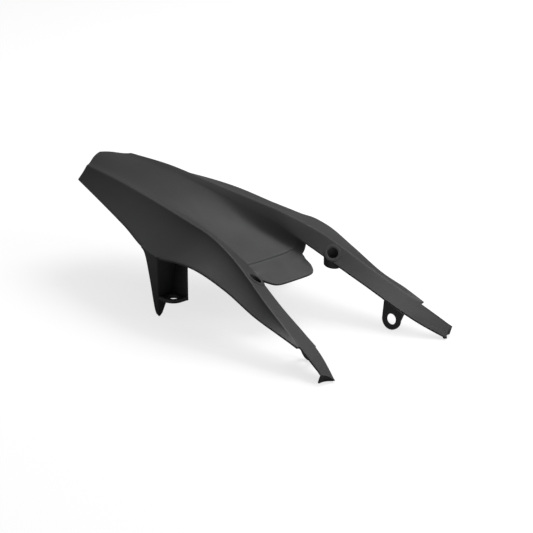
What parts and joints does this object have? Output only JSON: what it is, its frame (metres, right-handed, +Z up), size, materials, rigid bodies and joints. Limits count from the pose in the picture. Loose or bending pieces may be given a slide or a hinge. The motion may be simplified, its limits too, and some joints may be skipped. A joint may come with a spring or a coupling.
{
  "type": "motorcycle rear fender",
  "caption": "Moulded motorcycle rear fender with a creased deck, central trough and seat tongue, forked front arms with recessed screw bosses, hanging bolt tabs and rear bolting legs.",
  "frame": {"origin": "on the floor that the legs and arm lips stand on, below the centre of the bounding box", "axes": "+X forwards towards the arm ends, +Y to the rider's left, +Z up"},
  "size_m": [0.5856, 0.266, 0.1501],
  "materials": {
    "black_plastic": "satin black moulded polypropylene, fine grain"
  },
  "bodies": {
    "root": {"rear_fender": "black_plastic"}
  },
  "joints": []
}
